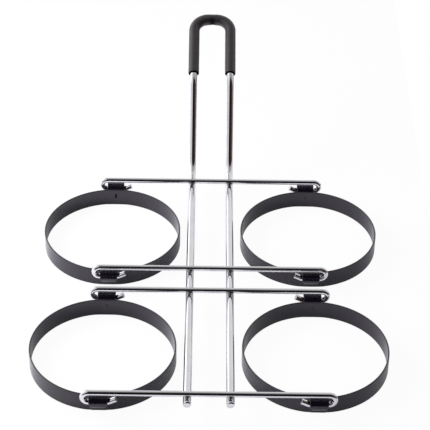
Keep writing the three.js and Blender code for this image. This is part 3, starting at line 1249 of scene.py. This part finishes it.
@dataclass(frozen=True)
class EggHoop:
    """One hoop with its two tabs.

    Args:
        layout: the shared sizes.
        name: the hoop's name, as its nodes and its body have it.
        column: -1 on the left and 1 on the right.
        row: -1 in front and 1 at the rear.
        strip_thickness: of the rolled strip.
        strip_round: rounding of its edges.
        strip_rows: points up each of its faces.
        strip_corner_steps: points round each of its edges.
        face_share: how deep in the strip its inner face starts, as a share of its thickness.
        seam_gap: between the strip's ends.
        seat_spread: how wide the strip is drawn in round a tab, as a share of the tab's seat.
        zone: angle beside each tab's middle in which stations are close, in radians.
        zone_stations: how many there are in it.
        side_stations: how many there are along each side.
        rim_wear: height of the worn band along both rims.
        dent_radius: radius of the dent that a spot weld leaves.
        dent_core: how far out it is at its full depth, as a share of that.
        dent_fade: how far it then takes to end, as a share of that.
        dent_depth: its depth.
        mark_height: half height of the scorched mark there.
        mark_fade: how far it takes to fade.
        mark_slimness: how many times higher than wide it is.
        faint_mark: its strength on all hoops but the rear left one.
        tab_crease: edges of a tab that turn by more than this many degrees stay sharp.
    """

    layout: Layout
    name: str
    column: int
    row: int
    strip_thickness: float = 1.0
    strip_round: float = 0.4
    strip_rows: int = 34
    strip_corner_steps: int = 6
    face_share: float = 0.9
    seam_gap: float = 0.4
    seat_spread: float = 1.55
    zone: float = 0.16
    zone_stations: int = 54
    side_stations: int = 170
    rim_wear: float = 0.5
    dent_radius: float = 1.3
    dent_core: float = 0.5
    dent_fade: float = 0.6
    dent_depth: float = 0.16
    mark_height: float = 1.4
    mark_fade: float = 1.2
    mark_slimness: float = 3.2
    faint_mark: float = 0.25
    tab_crease: float = 50.0

    @property
    def centre(self) -> np.ndarray:
        """The hoop's middle on the ground."""
        sizes = self.layout
        return np.array([self.column * sizes.column_x, sizes.middle_y + self.row * sizes.row_y, 0.0])

    def strip_profile(self) -> np.ndarray:
        """The strip's cross-section: a rectangle with a quarter circle at each corner.

        Returns:
            A closed loop, with the offset outwards and the height in each row.
        """
        rounding, thick, high = self.strip_round, self.strip_thickness, self.layout.hoop_height
        quarter = np.linspace(0.0, math.pi / 2, self.strip_corner_steps)
        heights = np.linspace(rounding, high - rounding, self.strip_rows)
        outside = np.stack([np.zeros_like(heights), heights], axis=-1)
        inwards, upwards = rounding * (1 - np.cos(quarter)), rounding * (1 - np.sin(quarter))
        corner_high = np.stack([-inwards, high - upwards], axis=-1)
        corner_low = corner_high * [1.0, -1.0] + [0.0, high]
        flip = np.array([-1.0, 1.0])
        inner_high = corner_high[::-1] * flip - [thick, 0.0]
        inside = outside[::-1] - [thick, 0.0]
        inner_low = corner_low * flip - [thick, 0.0]
        loop = [outside[1:-1], corner_high, inner_high, inside[1:-1], inner_low, corner_low[::-1]]
        return np.concatenate(loop)

    def band_angles(self) -> np.ndarray:
        """Angles round the hoop from its front, closer together near both tabs.

        Returns:
            The angles from one end of the strip to the other, in radians.
        """
        gap = self.seam_gap / 2 / self.layout.hoop_radius
        fine = np.linspace(-self.zone, self.zone, self.zone_stations)
        side = np.linspace(self.zone, math.pi - self.zone, self.side_stations)[1:-1]
        angles = [
            [gap],
            fine[fine > gap],
            side,
            math.pi + fine,
            math.pi + side,
            2 * math.pi + fine[fine < -gap],
            [2 * math.pi - gap],
        ]
        return np.concatenate(angles)

    def build_band(self) -> None:
        """The rolled strip: its profile carried round the circle, drawn in a little where the tabs sit.

        The outside radius at an angle a from a seat's middle is R - d (1 - (a/w)^2)^2 for |a| < w, and R
        elsewhere. Inside, the spot welds leave a shallow dent, and the rear one a scorched mark as well.
        """
        sizes = self.layout
        turn = self.band_angles()
        profile = self.strip_profile()
        draw = sizes.hoop_radius - sizes.seat_distance
        width = self.seat_spread * sizes.seat_half_angle
        from_seat = np.arcsin(np.abs(np.sin(turn)))
        seat = draw * np.clip(1.0 - (from_seat / width) ** 2, 0.0, None) ** 2
        offset = profile[None, :, 0] - seat[:, None]
        height = np.repeat(profile[None, :, 1], len(turn), axis=0)
        sideways = sizes.hoop_radius * np.sin(turn)[:, None]
        from_weld = np.hypot(sideways, height - sizes.weld_height) / self.dent_radius
        inside = (profile[:, 0] < -self.strip_thickness * self.face_share)[None, :]
        dent = inside * (1.0 - smooth_step((from_weld - self.dent_core) / self.dent_fade))
        radius = sizes.hoop_radius + offset + dent * self.dent_depth
        x = radius * np.sin(turn)[:, None]
        y = -radius * np.cos(turn)[:, None]
        grid = self.centre + np.stack([x, y, height], axis=-1)
        rim = np.minimum(profile[:, 1], sizes.hoop_height - profile[:, 1])
        edge = np.repeat((1.0 - smooth_step(rim / self.rim_wear))[None, :], len(turn), axis=0)
        scorch = np.hypot(sideways * self.mark_slimness, height - sizes.weld_height)
        marked = inside * (1.0 - smooth_step((scorch - self.mark_height) / self.mark_fade))
        marked = marked * (np.cos(turn) < 0.0)[:, None]
        marked = marked * (1.0 if self.row > 0 and self.column < 0 else self.faint_mark)
        surface = Surface.from_grid(grid, True, {"mask": marked, "edge": edge})
        node = f"{self.name}_hoop_band"
        dress(surface, f"coated_{node}", FinishName.COATING, f"{self.name}_hoop", node)

    def build(self) -> None:
        """Builds the hoop and both of its tabs."""
        self.build_band()
        for facing, place in ((1, "rear"), (-1, "front")):
            node = f"{self.name}_{place}_tab"
            surface = HoopTab(self.layout, self.centre, facing).surface()
            dress(surface, f"coated_{node}", FinishName.COATING, f"{self.name}_hoop", node, self.tab_crease)


# Studio


@dataclass(frozen=True)
class Studio:
    """The pale floor, the soft light and the camera.

    The room is what metal mirrors. Its angles go up from the horizon in front, over the top to the back, and
    its sides are measured by the part of a direction that points there, from 0 to 1.

    Args:
        layout: the shared sizes.
        camera_place: the camera's place from the middle between the rows of hoops, in millimetres.
        yaw: its turn to the right of straight ahead, in radians.
        pitch: how far it looks down, in radians.
        roll: its turn about its own line of sight, in radians.
        focal_length: in picture widths.
        film_width: of the camera, which sets no proportion by itself.
        clip: the nearest and the farthest place that the camera sees, in metres.
        floor_front: the table's front edge, from the middle between the rows.
        floor_right: its right edge.
        floor_reach: how far it goes to the left and to the back.
        floor_colour: its own colour, which shows where a shadow falls.
        floor_seen: how much of it is plain white to the camera.
        floor_mirrored: how much of it is plain white in reflections.
        ceiling: brightness by angle, from the dark front to the grey ceiling.
        back_wall: what the white wall behind adds, by angle.
        under_back: brightness by angle from behind down to under the table.
        under_right: what is left of that far out to the right.
        left_lean: how much height counts beside the way to the left.
        left_wall: brightness far out to the left and above.
        box_direction: where the bright box at the left and behind is.
        box: what it adds, by the cosine of the angle from its middle.
        warm_right: share of the brown in the dark, far out to the right.
        dark: the dark's colour.
        brown: the brown's colour.
        light_tint: the colour of everything that is lit.
        soft_light: the even light that matt surfaces get.
        lamp_place: the soft lamp's place, in millimetres from the middle between the rows.
        lamp_size: its width and height, in metres.
        lamp_power: in watts.
    """

    layout: Layout
    camera_place: tuple[float, float, float] = (-3.054, -859.465, 702.682)
    yaw: float = 0.00658
    pitch: float = 0.63597
    roll: float = 0.01617
    focal_length: float = 1727.36 / 430.0
    film_width: float = 36.0
    clip: tuple[float, float] = (0.05, 20.0)
    floor_front: float = -175.0
    floor_right: float = 150.0
    floor_reach: float = 3000.0
    floor_colour: tuple[float, float, float] = (0.88, 0.86, 0.94)
    floor_seen: float = 0.95
    floor_mirrored: float = 0.22
    ceiling: Ramp = Ramp(66.0, 90.0, 0.0, 0.39)
    back_wall: Ramp = Ramp(102.0, 146.0, 0.0, 0.44)
    under_back: Ramp = Ramp(-120.0, -100.0, 0.83, 0.0)
    under_right: Ramp = Ramp(0.55, 0.75, 1.0, 0.0)
    left_lean: float = 0.6
    left_wall: Ramp = Ramp(0.68, 0.85, 0.0, 0.75)
    box_direction: tuple[float, float, float] = (-0.808, 0.505, 0.303)
    box: Ramp = Ramp(0.80, 0.96, 0.0, 0.95)
    warm_right: Ramp = Ramp(0.30, 0.60, 0.0, 1.0)
    dark: tuple[float, float, float] = (0.008, 0.006, 0.007)
    brown: tuple[float, float, float] = (0.055, 0.030, 0.022)
    light_tint: tuple[float, float, float] = (0.99, 0.98, 1.0)
    soft_light: tuple[float, float, float] = (0.50, 0.50, 0.51)
    lamp_place: tuple[float, float, float] = (-430.0, 120.0, 290.0)
    lamp_size: tuple[float, float] = (0.34, 0.26)
    lamp_power: float = 3.7

    def build_camera(self) -> None:
        """A long lens at the photograph's place, found by fitting the rims of the hoops."""
        forward = np.array(
            [
                math.sin(self.yaw) * math.cos(self.pitch),
                math.cos(self.yaw) * math.cos(self.pitch),
                -math.sin(self.pitch),
            ]
        )
        level = np.array([math.cos(self.yaw), -math.sin(self.yaw), 0.0])
        upright = np.cross(level, forward)
        right = math.cos(self.roll) * level + math.sin(self.roll) * upright
        up = -math.sin(self.roll) * level + math.cos(self.roll) * upright
        place = np.array(self.camera_place) + np.array([0.0, self.layout.middle_y, 0.0])
        data = bpy.data.cameras.new("camera")
        data.sensor_width = self.film_width
        data.lens = self.film_width * self.focal_length
        data.clip_start, data.clip_end = self.clip
        camera = bpy.data.objects.new("camera", data)
        bpy.context.scene.collection.objects.link(camera)
        columns = np.stack([right, up, -forward, place * MM], axis=1)
        camera.matrix_world = Matrix([*columns.tolist(), [0.0, 0.0, 0.0, 1.0]])
        bpy.context.scene.camera = camera

    def build_floor(self) -> None:
        """A white table top that keeps the object's soft shadow."""
        front = (self.layout.middle_y + self.floor_front) * MM
        right, reach = self.floor_right * MM, self.floor_reach * MM
        mesh = bpy.data.meshes.new("floor")
        corners = [(-reach, front, 0.0), (right, front, 0.0), (right, reach, 0.0), (-reach, reach, 0.0)]
        mesh.from_pydata(corners, [], [(0, 1, 2, 3)])
        material = bpy.data.materials.new("white table top")
        material.use_nodes = True
        board = NodeBoard(material.node_tree)
        path = board.add("ShaderNodeLightPath", {}, {}).outputs
        matt = board.add("ShaderNodeBsdfDiffuse", {}, {"Color": (*self.floor_colour, 1.0)})
        glow = board.add("ShaderNodeEmission", {}, {"Color": WHITE, "Strength": 1.0})
        direct = board.math("MULTIPLY", path["Is Camera Ray"], self.floor_seen)
        mirrored = board.math("MULTIPLY", path["Is Glossy Ray"], self.floor_mirrored)
        share = board.math("ADD", direct, mirrored)
        mixed = board.add("ShaderNodeMixShader", {}, {0: share, 1: matt.outputs[0], 2: glow.outputs[0]})
        board.add("ShaderNodeOutputMaterial", {}, {"Surface": mixed.outputs[0]})
        mesh.materials.append(material)
        floor = bpy.data.objects.new("floor", mesh)
        bpy.context.scene.collection.objects.link(floor)

    def build_room(self) -> None:
        """The room's light, as metal mirrors it: near black in front, grey overhead and white behind.

        Far out to the left and above it is white, and far out to the right the dark turns into a dim brown.
        The camera itself sees white, and matt surfaces get an even light.
        """
        world = bpy.data.worlds.new("studio")
        world.use_nodes = True
        bpy.context.scene.world = world
        board = NodeBoard(world.node_tree)
        way = board.add("ShaderNodeTexCoord", {}, {}).outputs["Generated"]
        parts = board.add("ShaderNodeSeparateXYZ", {}, {0: way}).outputs
        forward = board.math("MULTIPLY", parts[1], -1.0)
        around = board.math("ARCTAN2", parts[2], forward)
        degrees = board.math("MULTIPLY", around, 180.0 / math.pi)
        ceiling = board.ramp(degrees, self.ceiling)
        over = board.math("ADD", ceiling, board.ramp(degrees, self.back_wall))
        under = board.ramp(degrees, self.under_back)
        under = board.math("MULTIPLY", under, board.ramp(parts[0], self.under_right))
        leftward = board.math("SUBTRACT", board.math("MULTIPLY", parts[2], self.left_lean), parts[0])
        left = board.ramp(leftward, self.left_wall)
        lit = board.math("MAXIMUM", board.math("ADD", over, under), left)
        towards_box = board.add(
            "ShaderNodeVectorMath", {"operation": "DOT_PRODUCT"}, {0: way, 1: self.box_direction}
        ).outputs["Value"]
        lit = board.math("ADD", lit, board.ramp(towards_box, self.box))
        warm = board.ramp(parts[0], self.warm_right)
        dim = board.mix(warm, (*self.dark, 1.0), (*self.brown, 1.0))
        tinted = {0: self.light_tint, "Scale": lit}
        bright = board.add("ShaderNodeVectorMath", {"operation": "SCALE"}, tinted).outputs[0]
        both = {0: bright, 1: dim}
        reflected = board.add("ShaderNodeVectorMath", {"operation": "ADD"}, both).outputs[0]
        path = board.add("ShaderNodeLightPath", {}, {}).outputs
        glossy = board.mix(path["Is Glossy Ray"], (*self.soft_light, 1.0), reflected)
        colour = board.mix(path["Is Camera Ray"], glossy, WHITE)
        background = board.add("ShaderNodeBackground", {}, {"Color": colour, "Strength": 1.0})
        board.add("ShaderNodeOutputWorld", {}, {"Surface": background.outputs[0]})

    def build_lamp(self) -> None:
        """One soft lamp near the table at the left and behind, which casts the shadows on the table."""
        data = bpy.data.lights.new("left_softbox", "AREA")
        data.shape = "RECTANGLE"
        data.size, data.size_y = self.lamp_size
        data.energy = self.lamp_power
        lamp = bpy.data.objects.new("left_softbox", data)
        bpy.context.scene.collection.objects.link(lamp)
        middle = np.array([0.0, self.layout.middle_y, 0.0])
        place = middle + np.array(self.lamp_place)
        aim = Vector(middle - place)
        lamp.location = Vector(place * MM)
        lamp.rotation_euler = aim.to_track_quat("-Z", "Y").to_euler()
        lamp.visible_glossy = False

    def build(self) -> None:
        """Sets the view transform and builds floor, room, lamp and camera."""
        bpy.context.scene.view_settings.view_transform = "Standard"
        self.build_floor()
        self.build_room()
        self.build_lamp()
        self.build_camera()


def main() -> None:
    """Builds the studio, the carrier and the four hoops."""
    logging.basicConfig(level=logging.INFO, format="%(message)s")
    layout = Layout()
    Studio(layout).build()
    carrier = WireCarrier(layout)
    carrier.build()
    GripSleeve(carrier).build()
    for row, row_name in ((1, "rear"), (-1, "front")):
        for column, column_name in ((-1, "left"), (1, "right")):
            EggHoop(layout, f"{row_name}_{column_name}", column, row).build()


if __name__ == "__main__":
    main()
